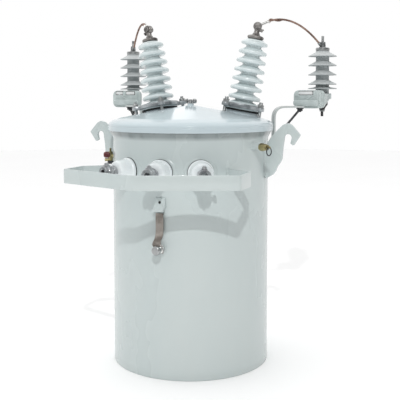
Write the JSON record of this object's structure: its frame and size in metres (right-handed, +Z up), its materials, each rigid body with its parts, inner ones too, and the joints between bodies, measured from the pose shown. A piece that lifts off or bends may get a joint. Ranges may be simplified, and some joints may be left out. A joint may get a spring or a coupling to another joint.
{
  "type": "pole mounted distribution transformer",
  "caption": "Round oil tank with a conical cover, leaning high voltage bushings, surge arresters on arms, low voltage bushings behind a strap guard, and hooked lifting lugs.",
  "frame": {"origin": "on the tank's axis, at the underside of its bottom plate", "axes": "+Z up; -Y is the low voltage side with the strap guard, +Y the pole side with the hangers; +X is the right-hand lifting lug seen from the low voltage side"},
  "size_m": [0.7558, 0.7671, 1.0185],
  "materials": {
    "tank_paint": "light sky-grey enamel, semi-gloss, with faint unevenness",
    "arm_paint": "light grey coated flat bar",
    "gasket_rubber": "black nitrile gasket",
    "plated_steel": "zinc plated steel, slightly dulled",
    "dark_steel": "dark weathered steel rod",
    "cast_aluminium": "cast aluminium, satin, with darker edges",
    "porcelain": "sky-grey glazed porcelain",
    "dull_metal": "dulled cast metal, dark grey",
    "copper": "bare stranded copper, browned",
    "shed_polymer": "grey silicone rubber sheds, matt",
    "holder_polymer": "grey moulded glass-filled polyester",
    "black_polymer": "black moulded disconnector",
    "tinned_metal": "tinned cast terminal, satin grey",
    "strap_steel": "flat tinned strap, grey-brown",
    "valve_brass": "brass, a little tarnished"
  },
  "bodies": {
    "root": {"tank_wall": "tank_paint", "tank_bottom": "tank_paint", "cover": "tank_paint", "lv_guard": "tank_paint", "ground_tab": "tank_paint", "hanger_upper": "tank_paint", "hanger_lower": "tank_paint", "cover_gasket": "gasket_rubber", "cover_connector": "plated_steel", "hv_gasket_left": "gasket_rubber", "hv_clamp_left": "cast_aluminium", "hv_studs_left": "plated_steel", "hv_bushing_left": "porcelain", "hv_cap_left": "dull_metal", "hv_terminal_left": "dull_metal", "jumper_lead_left": "copper", "arrester_left": "shed_polymer", "arrester_cap_left": "dull_metal", "arrester_holder_left": "holder_polymer", "arrester_disconnector_left": "black_polymer", "arrester_arm_left": "arm_paint", "arrester_brace_left": "dark_steel", "lifting_lug_left": "tank_paint", "hv_gasket_right": "gasket_rubber", "hv_clamp_right": "cast_aluminium", "hv_studs_right": "plated_steel", "hv_bushing_right": "porcelain", "hv_cap_right": "dull_metal", "hv_terminal_right": "dull_metal", "jumper_lead_right": "copper", "arrester_right": "shed_polymer", "arrester_cap_right": "dull_metal", "arrester_holder_right": "holder_polymer", "arrester_disconnector_right": "black_polymer", "arrester_arm_right": "arm_paint", "arrester_brace_right": "dark_steel", "lifting_lug_right": "tank_paint", "lv_bushing_left": "porcelain", "lv_terminal_left": "tinned_metal", "lv_bushing_middle": "porcelain", "lv_terminal_middle": "tinned_metal", "lv_bushing_right": "porcelain", "lv_terminal_right": "tinned_metal", "ground_strap": "strap_steel", "ground_bolt": "plated_steel", "relief_valve": "valve_brass", "relief_ring": "dark_steel", "tank_connector": "valve_brass"}
  },
  "joints": []
}
